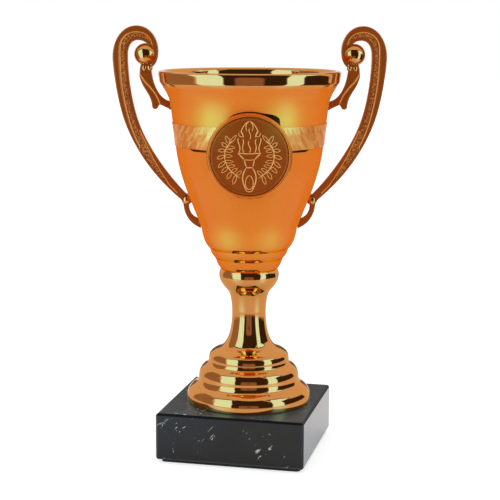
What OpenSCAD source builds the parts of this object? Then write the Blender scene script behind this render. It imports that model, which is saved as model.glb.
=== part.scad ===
// Two-handled trophy cup on a stone block, built as the real one is: moulded cup
// pieces stacked on a threaded rod that clamps them to the block.
// Origin: centre of the underside of the pad. +Z up, the medal faces -Y.

/* [Base] */
// Width and depth of the square stone block
base_w = 50.4; // [40:0.2:60]
// Height of the stone block
base_h = 16; // [12:0.5:25]
// Small chamfer along the block's edges
base_chamfer = 0.7; // [0.3:0.1:1.5]
// Turn of the block about the upright axis, relative to the cup
base_turn = -12.9; // [-45:0.1:45]
// How far the block's centre lies off the rod, along X
base_off = -1; // [-2:0.1:2]
// Thickness of the soft pad under the block
pad_t = 1; // [0.5:0.1:2]

/* [Rod] */
// Radius of the threaded rod
rod_r = 2.5; // [2:0.1:3]
// Radial clearance of the rod in the bores of the stack
rod_clear = 0.1; // [0.05:0.01:0.2]
// Width across the flats of both nuts
nut_af = 8; // [7:0.1:10]
// Height of both nuts
nut_h = 4; // [3:0.1:5]
// Outer radius of both washers
washer_r = 7; // [5:0.1:7.5]
// Thickness of both washers
washer_t = 1.2; // [0.8:0.1:2]
// Depth of the pocket for nut and washer in the underside of the block
pocket_depth = 7.5; // [6.5:0.1:9]

/* [Cup] */
// Height of the stepped foot
foot_h = 18.2; // [16:0.1:20]
// Height of the waisted stem
stem_h = 20.3; // [18:0.1:23]
// Height of the round knop between stem and bowl
knop_h = 7.5; // [6.5:0.1:8]
// Height of the bowl with its rings and lip
bowl_h = 67; // [66:0.1:69]
// Wall thickness of the moulded pieces
wall = 1.6; // [1.2:0.1:2]
// Thickness of the bowl's floor
floor_t = 2.5; // [2:0.1:3.5]

/* [Handles] */
// Thickness of the handle straps, front to back
strap_t = 3.4; // [2.5:0.1:4.5]
// Depth of the grained panel in the strap's faces
inlay_depth = 0.3; // [0.1:0.05:0.5]
// Radius of the large ball in the scroll
ball_r = 3.65; // [3:0.05:4]
// Radius of the small ball at the strap's lower end
bead_r = 1.65; // [1.2:0.05:2]
// Radius of the pegs that go through the bowl's wall
peg_r = 1; // [0.8:0.05:1.2]

/* [Medal] */
// Outer radius of the medal holder
holder_r = 13.7; // [13:0.1:14]
// Radius of the round insert
insert_r = 12.4; // [12:0.05:12.5]
// Height of the medal's centre above the table
medal_z = 104; // [102:0.5:106]
// Distance of the holder's front face from the cup's axis
medal_y = 28.4; // [28:0.1:29]

/* [Hidden] */
$fn = 96;
curve_steps = 8;
fit_clear = 0.05;
glue_t = 0.03;
through = 200;

z_foot = pad_t + base_h;
z_stem = z_foot + foot_h;
z_knop = z_stem + stem_h;
z_bowl = z_knop + knop_h;
z_rim = z_bowl + bowl_h;
bore_r = rod_r + rod_clear;

// Locating rings between the stacked pieces
spigot_h = 1.3;
foot_spigot_r = 7.4;
stem_spigot_r = 4.6;
knop_spigot_r = 7.35;

// Nut, washer and rod levels
z_pocket = pad_t + pocket_depth;
z_base_nut = z_pocket - washer_t - nut_h;
ring_h = 6.6;
z_floor = z_bowl + ring_h - 0.9 + floor_t;
z_bowl_nut = z_floor + washer_t;
rod_end = 0.8;
nut_chamfer = 0.6;
pocket_r = 8.2;

// Straight part of the bowl's wall, as [radius, height above the table]
wall_low = [24.65, 103.5];
wall_high = [26.4, 117.8];
wall_slope = (wall_high[0] - wall_low[0]) / (wall_high[1] - wall_low[1]);

band_z = 105.2;
band_h = 7.6;
band_t = 0.35;

// Where the pegs cross the wall: outer radius, height and tilt
peg_high = [26.47, 118.4, atan(wall_slope)];
peg_low = [16.95, 78.8, 20];
peg_reach = 3.2;
clip_r = 2.2;
clip_t = 0.5;
clip_gap = 0.3;

ball_at = [34.86, 135.3];
bead_at = [21.35, 86.65];

// A cubic curve through the end points of four control points
function curve(p, n = curve_steps) =
    [for (i = [0:n]) let (t = i / n, u = 1 - t)
        u*u*u * p[0] + 3*u*u*t * p[1] + 3*u*t*t * p[2] + t*t*t * p[3]];

// A round stretch of an outline
function arc(c, r, a0, a1, n = curve_steps) =
    [for (i = [0:n]) let (a = a0 + (a1 - a0) * i / n) c + r * [cos(a), sin(a)]];

// The same outline moved up by z
function raised(points, z) = [for (p = points) p + [0, z]];

// Solid of revolution about the cup's axis
module turned(points) {
    rotate_extrude() polygon(points);
}

module tube(r_out, r_in, h) {
    difference() {
        cylinder(r = r_out, h = h);
        translate([0, 0, -1]) cylinder(r = r_in, h = h + 2);
    }
}

module rod_bore() {
    cylinder(r = bore_r, h = through);
}

// ---------------------------------------------------------------- base

// Places the block, whose hole for the rod is not quite in its middle
module on_block() {
    translate([base_off, 0, 0]) rotate([0, 0, base_turn]) children();
}

// Wedge that chamfers one long edge running along X
module edge_cutter() {
    cut = base_chamfer * sqrt(2);
    rotate([45, 0, 0]) cube([base_w * 2, cut, cut], center = true);
}

module base_pad() {
    inset = 1.5;
    side = base_w - 2 * inset;
    color([0.05, 0.05, 0.05])
    difference() {
        on_block() translate([-side / 2, -side / 2, 0]) cube([side, side, pad_t]);
        translate([0, 0, -1]) cylinder(r = pocket_r, h = pad_t + 2);
    }
}

module marble_base() {
    half = base_w / 2;
    color([0.2, 0.2, 0.19])
    difference() {
        on_block() translate([-half, -half, pad_t]) cube([base_w, base_w, base_h]);
        on_block() for (a = [0:90:270]) rotate([0, 0, a]) {
            translate([0, -half, pad_t]) edge_cutter();
            translate([0, -half, z_foot]) edge_cutter();
            translate([-half, -half, pad_t + base_h / 2]) rotate([0, 90, 0]) edge_cutter();
        }
        rod_bore();
        cylinder(r = pocket_r, h = z_pocket);
    }
}

// ---------------------------------------------------------------- rod

module nut() {
    corner_r = nut_af / sqrt(3);
    difference() {
        intersection() {
            cylinder(r = corner_r, h = nut_h, $fn = 6);
            cylinder(r1 = corner_r - nut_chamfer, r2 = corner_r - nut_chamfer + nut_h, h = nut_h);
            cylinder(r2 = corner_r - nut_chamfer, r1 = corner_r - nut_chamfer + nut_h, h = nut_h);
        }
        translate([0, 0, -1]) cylinder(r = rod_r + fit_clear, h = nut_h + 2);
    }
}

module base_washer() {
    color([0.7, 0.7, 0.68])
    translate([0, 0, z_pocket - washer_t]) tube(washer_r, bore_r, washer_t);
}

module base_nut() {
    color([0.72, 0.72, 0.7])
    translate([0, 0, z_base_nut]) nut();
}

module tie_rod() {
    z0 = z_base_nut - rod_end;
    z1 = z_bowl_nut + nut_h + rod_end;
    tip = 0.5;
    color([0.65, 0.65, 0.64])
    turned([[0, z0], [rod_r - tip, z0], [rod_r, z0 + tip],
        [rod_r, z1 - tip], [rod_r - tip, z1], [0, z1]]);
}

module bowl_washer() {
    color([0.7, 0.7, 0.68])
    translate([0, 0, z_floor]) tube(washer_r, bore_r, washer_t);
}

module bowl_nut() {
    color([0.72, 0.72, 0.7])
    translate([0, 0, z_bowl_nut]) nut();
}

// ---------------------------------------------------------------- foot, stem, knop

// Three rounded steps that run into each other through hollow curves
foot_steps = [
    [[20.75, 0], [21.1, 0.7], [21.25, 1.5], [21.25, 2.4]],
    [[21.25, 2.4], [21.25, 3.9], [19.9, 5.2], [18.6, 6]],
    [[18.6, 6], [17.75, 6.55], [17.2, 7.4], [17.2, 8.7]],
    [[17.2, 8.7], [17.2, 10.6], [16.3, 11.8], [15.2, 12.55]],
    [[15.2, 12.55], [14.4, 13.05], [13.8, 13.6], [13.8, 14.6]],
    [[13.8, 14.6], [13.8, 16.6], [12.8, 17.5], [10.8, foot_h]]
];

module foot() {
    outside = [for (step = foot_steps) each curve(step)];
    inside = [[19.1, -1], [19.1, 2.8], [15.3, 5.4], [15.3, 9.4], [11.8, 11.5],
        [11.8, 14.8], [9.8, foot_h - wall], [0, foot_h - wall], [0, -1]];
    color([0.8, 0.42, 0.18])
    translate([0, 0, z_foot])
    difference() {
        union() {
            turned(concat([[0, 0]], outside, [[0, foot_h]]));
            tube(foot_spigot_r, foot_spigot_r - wall, foot_h + spigot_h);
        }
        turned(inside);
        rod_bore();
    }
}

module stem() {
    waist = [5.8, 12.3];
    lower = [[10.7, 0], [7.2, 1.1], [5.9, 6.3], waist];
    upper = [waist, [5.8, 16.3], [6.35, 19.15], [7.3, stem_h]];
    core_r = 3.7;
    core_base = foot_spigot_r + fit_clear;
    core = [[0, -1], [core_base, -1], [core_base, spigot_h + 0.1], [core_r, 7], [core_r, 18], [0, 18]];
    color([0.8, 0.42, 0.18])
    translate([0, 0, z_stem])
    difference() {
        union() {
            turned(concat([[0, 0]], curve(lower), curve(upper), [[0, stem_h]]));
            cylinder(r = stem_spigot_r, h = stem_h + spigot_h);
        }
        turned(core);
        rod_bore();
    }
}

module knop() {
    under = [[7.3, 0], [8.2, 1], [9.15, 2.1], [9.75, 3.4]];
    over = [[9.75, 3.4], [10.3, 4.8], [10.35, 6.5], [9.5, knop_h]];
    recess_h = spigot_h + 0.1;
    core_z = recess_h + wall;
    core_r = knop_spigot_r - wall;
    color([0.8, 0.42, 0.18])
    translate([0, 0, z_knop])
    difference() {
        union() {
            turned(concat([[0, 0]], curve(under), curve(over), [[0, knop_h]]));
            cylinder(r = knop_spigot_r, h = knop_h + spigot_h);
        }
        translate([0, 0, -1]) cylinder(r = stem_spigot_r + fit_clear, h = recess_h + 1);
        translate([0, 0, core_z]) cylinder(r = core_r, h = knop_h);
        rod_bore();
    }
}

// ---------------------------------------------------------------- bowl

// Outer outline: two rings and the hollows above them, heights above the bowl's underside
bowl_rings = concat(
    curve([[9.5, 0], [10.25, 0.6], [10.85, 1.5], [11.1, 2.6]]),
    curve([[11.1, 2.6], [11.2, 3.05], [11.25, 3.4], [11.7, 3.75]], 4),
    curve([[11.7, 3.75], [12.3, 4.3], [12.9, 5.3], [13.15, 6.4]]),
    curve([[13.15, 6.4], [13.2, 6.8], [13.3, 7.1], [13.75, 7.35]], 4)
);
bowl_belly = concat(
    curve([[13.75, 70.35], [15.1, 71.05], [15.25, 74.3], [16.3, 77.5]]),
    curve([[16.3, 77.5], [19.9, 86.5], [23.5, 94.5], wall_low])
);
bowl_lip = concat(
    curve([wall_high, [26.8, 121.6], [28.2, 123.4], [29.9, 125.9]]),
    curve([[29.9, 125.9], [30.4, 126.5], [30.6, 126.9], [30.6, 127.6]], 4)
);
bowl_inside = concat(
    [[0, z_floor], [10.6, z_floor]],
    curve([[10.6, z_floor], [13, z_floor + 0.2], [13.7, 74.4], [14.7, 77.3]]),
    curve([[14.7, 77.3], [18.3, 86.5], [21.9, 94.8], wall_low - [wall, 0]]),
    curve([wall_high - [wall, 0], [25.2, 121.8], [26.7, 124], [28.2, 127]])
);

// Everything inside the bowl's outer surface, grown outwards by a gap
module bowl_outer(gap = 0) {
    outline = concat(raised(bowl_rings, z_bowl), bowl_belly, bowl_lip);
    turned(concat([[0, z_bowl]], [for (p = outline) p + [gap, 0]], [[0, z_rim - 2.4]]));
}

module bowl() {
    lip_r = 1.1;
    lip_top = arc([29.5, z_rim - lip_r], lip_r, 0, 180);
    socket_h = ring_h - 0.9;
    outline = concat([[0, z_bowl]], raised(bowl_rings, z_bowl), bowl_belly, bowl_lip,
        lip_top, [[0, z_rim - lip_r]]);
    mouth = [[28.4, z_rim - lip_r], [28.4, z_rim + 1], [0, z_rim + 1]];
    color([0.85, 0.45, 0.2])
    difference() {
        turned(outline);
        turned(concat(bowl_inside, mouth));
        translate([0, 0, z_bowl - 1]) cylinder(r = knop_spigot_r + fit_clear, h = socket_h + 1);
        rod_bore();
        for (side = [0, 180]) rotate([0, 0, side]) for (p = [peg_high, peg_low])
            on_wall(p) translate([0, 0, -4]) cylinder(r = peg_r + fit_clear, h = 6);
    }
}

// Frame on the wall at a peg: local +Z points out of the wall
module on_wall(p) {
    translate([p[0], 0, p[1]]) rotate([0, 90 + p[2], 0]) children();
}

// Patterned strip round the bowl, open where the medal holder sits
module decor_band() {
    r0 = wall_low[0] + (band_z - wall_low[1]) * wall_slope + glue_t;
    r1 = r0 + band_h * wall_slope;
    color([0.92, 0.66, 0.42])
    difference() {
        turned([[r0, band_z], [r0 + band_t, band_z], [r1 + band_t, band_z + band_h], [r1, band_z + band_h]]);
        medal_frame() cylinder(r = holder_r + fit_clear, h = through);
    }
}

// ---------------------------------------------------------------- medal

// Local +Z points out of the medal's face
module medal_frame() {
    translate([0, 0, medal_z]) rotate([90, 0, 0]) children();
}

recess_depth = 1.5;
tape_t = 0.3;
plate_t = 0.8;
bead_w = 0.3;

module medal_bezel() {
    edge = 0.45;
    color([0.62, 0.32, 0.13])
    difference() {
        medal_frame() difference() {
            turned([[0, 0], [holder_r, 0], [holder_r, medal_y - edge], [holder_r - edge, medal_y], [0, medal_y]]);
            translate([0, 0, medal_y - recess_depth]) cylinder(r = insert_r + 0.15, h = through);
        }
        bowl_outer(glue_t);
    }
}

module medal_pad() {
    color([0.85, 0.85, 0.8])
    medal_frame() translate([0, 0, medal_y - recess_depth]) cylinder(r = insert_r - 0.9, h = tape_t);
}

module medal_disc() {
    z0 = medal_y - recess_depth + tape_t;
    rim_r = insert_r - bead_w;
    color([0.55, 0.28, 0.12])
    medal_frame() turned(concat([[0, z0], [insert_r, z0], [insert_r, z0 + plate_t]],
        arc([rim_r, z0 + plate_t], bead_w, 0, 180), [[0, z0 + plate_t]]));
}

// ---------------------------------------------------------------- handles

// Edges of the strap, from the small ball up and over into the scroll
strap_outside = concat(
    curve([[22.9, 86.5], [31.5, 93.8], [37.5, 101.8], [41.3, 111.5]]),
    curve([[41.3, 111.5], [43.6, 117.3], [45.1, 126], [45.6, 133.5]]),
    curve([[45.6, 133.5], [45.9, 139.9], [42.4, 144.75], [37.6, 144.75]]),
    curve([[37.6, 144.75], [33.5, 144.75], [30.45, 140.9], [30.45, 136.4]]),
    curve([[30.45, 136.4], [30.45, 134.2], [31, 132.6], [32.2, 131.3]])
);
strap_inside = concat(
    curve([[33.3, 132.6], [32.9, 137.2], [34.6, 139.95], [37.1, 139.95]]),
    curve([[37.1, 139.95], [39.2, 139.95], [40.5, 138.2], [40.6, 135.5]]),
    curve([[40.6, 135.5], [40.75, 129.5], [39.6, 119.6], [37.2, 112.8]]),
    curve([[37.2, 112.8], [34.7, 105.6], [28.9, 96.4], [21.2, 88.4]])
);

// Grained panel between the ridge line and the strap's inner edge
inlay = concat(
    curve([[34.6, 140.9], [37.5, 143.4], [43.4, 142.6], [43.4, 134]]),
    curve([[43.4, 134], [42.9, 122.5], [41.6, 113.6], [36.9, 104.8]]),
    curve([[36.9, 104.8], [34.4, 100.2], [31.4, 96], [26.9, 91.2]]),
    curve([[26.9, 91.2], [31.4, 97], [34.3, 102.8], [36.5, 109.2]]),
    curve([[36.5, 109.2], [39.8, 117.8], [41.5, 126.5], [41.3, 135.5]]),
    curve([[41.3, 135.5], [41.1, 138.9], [38.6, 142.1], [34.6, 140.9]])
);

// Arm to the bowl with its free leaf tail
arm_outline = concat(
    [[36.1, 132.8], [36.6, 130.6], [36.75, 127.9]],
    curve([[36.75, 127.9], [35.85, 123.6], [32.95, 122.5], [32.6, 117.9]]),
    arc([31.62, 118.1], 1, 345, 195, 6),
    [[30.1, 118.7], [24, 115.7], [24, 118.6]],
    curve([[27, 119.85], [29.8, 120.6], [32.3, 124.2], [32.85, 130.6]]),
    [[33.1, 132.8]]
);

// Small open loop under the small ball, reaching back to the bowl
loop_outline = concat(
    curve([[22.4, 85.9], [22.2, 80.6], [19.3, 78], [15.4, 76.5]]),
    curve([[15.4, 79.8], [18.9, 80.6], [21, 82.2], [20.3, 86]])
);

module upright(t) {
    translate([0, t / 2, 0]) rotate([90, 0, 0]) linear_extrude(t) children();
}

// The handle on the +X side
module handle() {
    collar_t = 2.6;
    collar_bead_r = 0.95;
    small_bead_r = 0.8;
    difference() {
        union() {
            difference() {
                upright(strap_t) polygon(concat(strap_outside, strap_inside));
                for (face = [-1, 1])
                    translate([0, face * strap_t / 2, 0]) upright(inlay_depth * 2) polygon(inlay);
            }
            upright(strap_t - 0.6) polygon(arm_outline);
            upright(collar_t) polygon(loop_outline);
            translate([ball_at[0], 0, ball_at[1]]) sphere(r = ball_r);
            translate([bead_at[0], 0, bead_at[1]]) sphere(r = bead_r);
            translate([20.5, 0, 88.2]) sphere(r = small_bead_r);
            for (x = [33.3, 35.16], face = [-1, 1])
                translate([x, face * 0.95, 130.7]) sphere(r = collar_bead_r);
        }
        bowl_outer(fit_clear);
    }
    for (p = [peg_high, peg_low])
        on_wall(p) translate([0, 0, -peg_reach]) cylinder(r = peg_r, h = peg_reach + 1);
}

module left_handle() {
    color([0.6, 0.32, 0.14]) mirror([1, 0, 0]) handle();
}

module right_handle() {
    color([0.6, 0.32, 0.14]) handle();
}

// Push-on clip on a peg, inside the bowl
module clip(p) {
    on_wall(p) translate([0, 0, -wall - clip_gap - clip_t]) tube(clip_r, peg_r + fit_clear / 2, clip_t);
}

module clip_left_upper() {
    color([0.5, 0.5, 0.5]) mirror([1, 0, 0]) clip(peg_high);
}

module clip_left_lower() {
    color([0.5, 0.5, 0.5]) mirror([1, 0, 0]) clip(peg_low);
}

module clip_right_upper() {
    color([0.5, 0.5, 0.5]) clip(peg_high);
}

module clip_right_lower() {
    color([0.5, 0.5, 0.5]) clip(peg_low);
}

base_pad();
marble_base();
base_washer();
base_nut();
tie_rod();
foot();
stem();
knop();
bowl();
bowl_washer();
bowl_nut();
decor_band();
medal_bezel();
medal_pad();
medal_disc();
left_handle();
right_handle();
clip_left_upper();
clip_left_lower();
clip_right_upper();
clip_right_lower();
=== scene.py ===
import math
import bpy
import bmesh
import numpy as np
from mathutils import Matrix, Vector


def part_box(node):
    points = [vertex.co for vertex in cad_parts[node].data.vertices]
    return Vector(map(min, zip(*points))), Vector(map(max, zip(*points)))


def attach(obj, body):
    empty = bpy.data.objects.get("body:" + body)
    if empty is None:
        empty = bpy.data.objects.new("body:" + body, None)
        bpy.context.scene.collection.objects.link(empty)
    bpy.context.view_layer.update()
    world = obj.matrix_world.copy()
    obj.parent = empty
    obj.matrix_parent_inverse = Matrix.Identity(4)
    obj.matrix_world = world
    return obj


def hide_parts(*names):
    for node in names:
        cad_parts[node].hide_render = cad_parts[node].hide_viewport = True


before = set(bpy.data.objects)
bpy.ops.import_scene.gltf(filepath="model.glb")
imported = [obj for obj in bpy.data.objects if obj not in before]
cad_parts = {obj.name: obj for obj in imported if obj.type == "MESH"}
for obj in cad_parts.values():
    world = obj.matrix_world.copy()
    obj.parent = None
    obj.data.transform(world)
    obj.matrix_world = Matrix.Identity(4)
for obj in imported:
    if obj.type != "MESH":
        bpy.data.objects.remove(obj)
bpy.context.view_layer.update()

# Two-handled trophy cup on a stone block. Lengths below are millimetres, turned to metres in build().
MM = 0.001
AROUND = 256            # segments of a turned piece
POLE = 1e-6             # a ring smaller than this is one point
OVERLAP = 1.3           # depth of the spigots that join the hollow pieces


# ---------- levels taken from the frame

def level(node, corner, axis):
    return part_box(node)[corner][axis] / MM


Z_PAD = level("base_pad", 1, 2)
Z_FOOT = level("marble_base", 1, 2)
Z_STEM = level("foot", 1, 2) - OVERLAP
Z_KNOP = level("stem", 1, 2) - OVERLAP
Z_BOWL = level("knop", 1, 2) - OVERLAP
Z_RIM = level("bowl", 1, 2)
Z_FLOOR = level("bowl_washer", 0, 2)
MEDAL_Z = (level("medal_disc", 0, 2) + level("medal_disc", 1, 2)) / 2
MEDAL_Y = -level("medal_bezel", 0, 1)
DISC_Y = -level("medal_disc", 0, 1)
BEZEL_R = (level("medal_bezel", 1, 0) - level("medal_bezel", 0, 0)) / 2
BAND_LO, BAND_HI = level("decor_band", 0, 2), level("decor_band", 1, 2)
BORE_R = 2.6                            # hole for the rod
BLOCK_SIDE, BLOCK_TURN = 50.4, -12.9    # side of the block, its turn in degrees
PAD_SIDE = BLOCK_SIDE - 3
POCKET_R, RECESS_R = 8.2, 12.55         # nut pocket under the block, seat of the medal


# ---------- outlines

def curve(p, n=14):
    """Points of a cubic curve through four control points."""
    t = np.linspace(0, 1, n + 1)[:, None]
    p = np.asarray(p, float)
    u = 1 - t
    return (u**3 * p[0] + 3 * u * u * t * p[1] + 3 * u * t * t * p[2] + t**3 * p[3]).tolist()


def join(*parts):
    """One line from several, without doubled points."""
    line = []
    for part in parts:
        for point in part:
            if not line or math.dist(line[-1], point) > 1e-4:
                line.append(list(point))
    return line


def chain(start, *steps):
    """Joined cubic curves: after the start point two handles and an end point each; a number sets their pieces."""
    line, points = [list(start)], []
    for step in steps:
        if isinstance(step, int):
            n = step
            continue
        points.append(step)
        if len(points) == 3:
            line = join(line, curve([line[-1], *points], n))
            points = []
    return line


def raised(points, dz):
    return [[p[0], p[1] + dz] for p in points]


def arc(c, r, a0, a1, n=12):
    return [[c[0] + r * math.cos(math.radians(a)), c[1] + r * math.sin(math.radians(a))]
            for a in np.linspace(a0, a1, n + 1)]


def resample(points, count):
    """The same line with evenly spaced points."""
    p = np.asarray(points, float)
    s = np.concatenate([[0], np.cumsum(np.linalg.norm(np.diff(p, axis=0), axis=1))])
    t = np.linspace(0, s[-1], count)
    return np.stack([np.interp(t, s, p[:, k]) for k in range(p.shape[1])], 1)


# ---------- meshes

def build(name, verts, faces, material, slot, body="cup", replaces=(), sharp=38, mirror=False, marks=None):
    """A piece of the object from millimetre vertices; marks gives each face's place in a list of materials."""
    materials = material if isinstance(material, list) else [material]
    verts = np.asarray(verts, float) * MM
    if mirror:
        verts = verts * [-1, 1, 1]
    mesh = bpy.data.meshes.new(name)
    mesh.from_pydata(verts.tolist(), [], faces)
    bm = bmesh.new()
    bm.from_mesh(mesh)
    if marks is not None:
        for face, mark in zip(bm.faces, marks):
            face.material_index = mark
    bmesh.ops.remove_doubles(bm, verts=bm.verts, dist=1e-7)
    bmesh.ops.recalc_face_normals(bm, faces=bm.faces)
    bm.to_mesh(mesh)
    bm.free()
    mesh.shade_smooth()
    mesh.set_sharp_from_angle(angle=math.radians(sharp))
    for each in materials:
        mesh.materials.append(each)
    obj = bpy.data.objects.new(name, mesh)
    bpy.context.scene.collection.objects.link(obj)
    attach(obj, body)
    if replaces:
        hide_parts(*replaces)
    return obj


class Mesh:
    """Vertices and faces gathered from several parts."""

    def __init__(self):
        self.verts, self.faces = [], []

    def add(self, verts, faces):
        n = len(self.verts)
        self.verts += [tuple(v) for v in verts]
        self.faces += [tuple(i + n for i in f) for f in faces]
        return self


def skin(rows, ring, closed=False, capped=True, first=0):
    """Faces over rows of ring vertices each, numbered from first."""
    faces = []
    for i in range(rows if closed else rows - 1):
        a, b = first + i * ring, first + (i + 1) % rows * ring
        faces += [(a + j, a + (j + 1) % ring, b + (j + 1) % ring, b + j) for j in range(ring)]
    if capped and not closed:
        faces += [tuple(range(ring - 1, -1, -1)), tuple((rows - 1) * ring + j for j in range(ring))]
    return faces


def bridge(rows, closed=False):
    """Faces between rows of vertex numbers; a row of one number is a pole."""
    faces = []
    for a, b in list(zip(rows, rows[1:])) + ([(rows[-1], rows[0])] if closed else []):
        count = max(len(a), len(b))
        for i in range(count):
            j = (i + 1) % count
            if len(a) > 1 and len(b) > 1:
                faces.append((a[i], a[j], b[j], b[i]))
            elif len(a) > 1:
                faces.append((a[i], a[j], b[0]))
            elif len(b) > 1:
                faces.append((a[0], b[j], b[i]))
    return faces


def turned(profile, segments=AROUND, closed=False):
    """Surface of revolution about Z from [radius, height] points, outside going up."""
    verts, rows = [], []
    angles = np.arange(segments) * 2 * math.pi / segments
    for r, z in profile:
        start = len(verts)
        verts += [(0, 0, z)] if r < POLE else [(r * math.cos(a), r * math.sin(a), z) for a in angles]
        rows.append(range(start, len(verts)))
    return verts, bridge(rows, closed)


def wire(points, width, height, plane, closed=False, taper=0.0, sides=10):
    """A raised half-round line that lies on a face. plane(u, v, w) gives the 3-D point; w is out of the face."""
    p = np.asarray(points, float)
    tangent = np.gradient(p, axis=0)
    if closed:
        tangent = np.roll(p, -1, 0) - np.roll(p, 1, 0)
    tangent /= np.maximum(np.linalg.norm(tangent, axis=1), 1e-9)[:, None]
    across = np.stack([-tangent[:, 1], tangent[:, 0]], 1)
    angles = np.arange(sides) * 2 * math.pi / sides
    verts, count = [], len(p)
    for i in range(count):
        s = i / (count - 1)
        k = 1.0
        if taper and not closed:
            k = max(0.12, min(1, s / taper, (1 - s) / taper))
            k = math.sqrt(k * (2 - k))
        for a in angles:
            u, v = p[i] + across[i] * (width / 2 * k * math.cos(a))
            verts.append(plane(u, v, height * k * math.sin(a) * (1 if math.sin(a) > 0 else 0.5)))
    return verts, skin(count, sides, closed)


def plate(outline, thickness, edge, steps=5):
    """An upright plate from an outline in XZ, centred on Y = 0, with rounded edges."""
    data = bpy.data.curves.new("plate_outline", "CURVE")
    data.dimensions = "2D"
    data.fill_mode = "BOTH"
    spline = data.splines.new("POLY")
    spline.points.add(len(outline) - 1)
    for point, (x, z) in zip(spline.points, outline):
        point.co = (x, z, 0, 1)
    spline.use_cyclic_u = True
    data.extrude = thickness / 2 - edge
    data.bevel_depth = edge
    data.bevel_resolution = steps
    data.offset = -edge
    obj = bpy.data.objects.new("plate_outline", data)
    bpy.context.scene.collection.objects.link(obj)
    bpy.context.view_layer.update()
    mesh = bpy.data.meshes.new_from_object(obj.evaluated_get(bpy.context.evaluated_depsgraph_get()))
    verts = [(v.co.x, -v.co.z, v.co.y) for v in mesh.vertices]
    faces = [tuple(f.vertices) for f in mesh.polygons]
    bpy.data.objects.remove(obj)
    bpy.data.curves.remove(data)
    bpy.data.meshes.remove(mesh)
    return verts, faces


# ---------- material nodes

SIGNS = {"+": "ADD", "-": "SUBTRACT", "*": "MULTIPLY", "/": "DIVIDE", "*+": "MULTIPLY_ADD", "max": "MAXIMUM"}


class Nodes:
    """Short ways to add and link shader nodes."""

    def __init__(self, tree):
        self.tree = tree

    def link(self, a, b):
        self.tree.links.new(a, b)

    def put(self, socket, value):
        if hasattr(value, "is_linked"):
            self.link(value, socket)
        else:
            socket.default_value = value

    def new(self, kind, inputs=None, **settings):
        """A node with its inputs, by name or number, set or linked."""
        node = self.tree.nodes.new(kind)
        for key, value in settings.items():
            setattr(node, key, value)
        for key, value in (inputs or {}).items():
            self.put(node.inputs[key], value)
        return node

    def feed(self, shader, **inputs):
        """Set or link a shader's inputs by name, with _ for a space."""
        for name, value in inputs.items():
            self.put(shader.inputs[name.replace("_", " ")], value)

    def place(self):
        """Object position in metres: every piece sits at the frame's origin."""
        return self.new("ShaderNodeTexCoord").outputs["Object"]

    def parts(self, vector=None):
        """The three coordinates of a vector, or of the object position."""
        return self.new("ShaderNodeSeparateXYZ", {0: vector or self.place()}).outputs

    def math(self, sign, a, b=0.0, c=0.0, clamp=False):
        return self.new("ShaderNodeMath", {0: a, 1: b, 2: c}, operation=SIGNS.get(sign, sign),
                        use_clamp=clamp).outputs[0]

    def ramp(self, value, stops):
        """Grey ramp from (position, level) stops."""
        node = self.new("ShaderNodeValToRGB", {0: value})
        elements = node.color_ramp.elements
        while len(elements) < len(stops):
            elements.new(0.5)
        for element, (at, level) in zip(elements, stops):
            element.position = at
            element.color = (level, level, level, 1)
        return node.outputs[0]

    def noise(self, scale, detail=3.0, roughness=0.5, vector=None, distortion=0.0):
        inputs = {"Vector": vector or self.place(), "Scale": scale, "Detail": detail, "Roughness": roughness,
                  "Distortion": distortion}
        return self.new("ShaderNodeTexNoise", inputs).outputs["Fac"]

    def voronoi(self, scale):
        return self.new("ShaderNodeTexVoronoi", {"Vector": self.place(), "Scale": scale}).outputs["Distance"]

    def mapped(self, scale, rotation=(0.0, 0.0, 0.0), kind="POINT"):
        inputs = {"Vector": self.place(), "Scale": scale, "Rotation": rotation}
        return self.new("ShaderNodeMapping", inputs, vector_type=kind).outputs[0]

    def mix(self, factor, a, b):
        a, b = ((*c, 1) if isinstance(c, tuple) else c for c in (a, b))
        return self.new("ShaderNodeMix", {0: factor, 6: a, 7: b}, data_type="RGBA").outputs[2]

    def bump(self, height, strength, distance, after=None):
        inputs = {"Strength": strength, "Distance": distance, "Height": height}
        if after:
            inputs["Normal"] = after
        return self.new("ShaderNodeBump", inputs).outputs[0]


def material(name, **constants):
    mat = bpy.data.materials.new(name)
    mat.use_nodes = True
    n = Nodes(mat.node_tree)
    shader = mat.node_tree.nodes["Principled BSDF"]
    n.feed(shader, **constants)
    return mat, n, shader


EDGE = (1.0, 0.82, 0.62)      # colour of copper and bronze seen at a low angle


def metal(name, colour, rough, spread=0.02, grain=0.0, tint=EDGE, mottle=0.04, solid=1.0, ior=1.5):
    """Plated metal: faint smears in the gloss, fine grain, and a slight drift in colour."""
    mat, n, shader = material(name, Metallic=solid, IOR=ior, Specular_Tint=(*tint, 1))
    smear = n.noise(90, 4, 0.6, n.mapped((1, 1, 0.35)))
    specks = n.ramp(n.noise(2600, 2), [(0.68, 0.0), (0.78, 1.0)])
    gloss = n.math("*+", smear, spread * 2, rough - spread)
    dark = tuple(c * (1 - mottle * 2) for c in colour)
    light = tuple(min(1, c * (1 + mottle)) for c in colour)
    normal = n.bump(n.noise(60, 3), 0.05, 0.00025)
    if grain:
        normal = n.bump(n.noise(4000, 3, 0.7), grain, 0.00004, normal)
    n.feed(shader, Base_Color=n.mix(n.noise(160, 5, 0.65), dark, light), Normal=normal,
           Roughness=n.math("*+", specks, 0.015, gloss))
    return mat


LIP_POLISH = 124.8            # height above which the bowl is polished
COPPER = (0.76, 0.315, 0.083)
SATIN = (0.885, 0.21, 0.019)
SHEEN = (0.5, 0.8, 0.2)       # lacquer gloss over the satin
COVES = (0.5, 4.15, 7.6)      # heights of the polished coves above the bowl's foot
COVE = (0.9, 0.29, 0.035)     # polished metal in the coves

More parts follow.
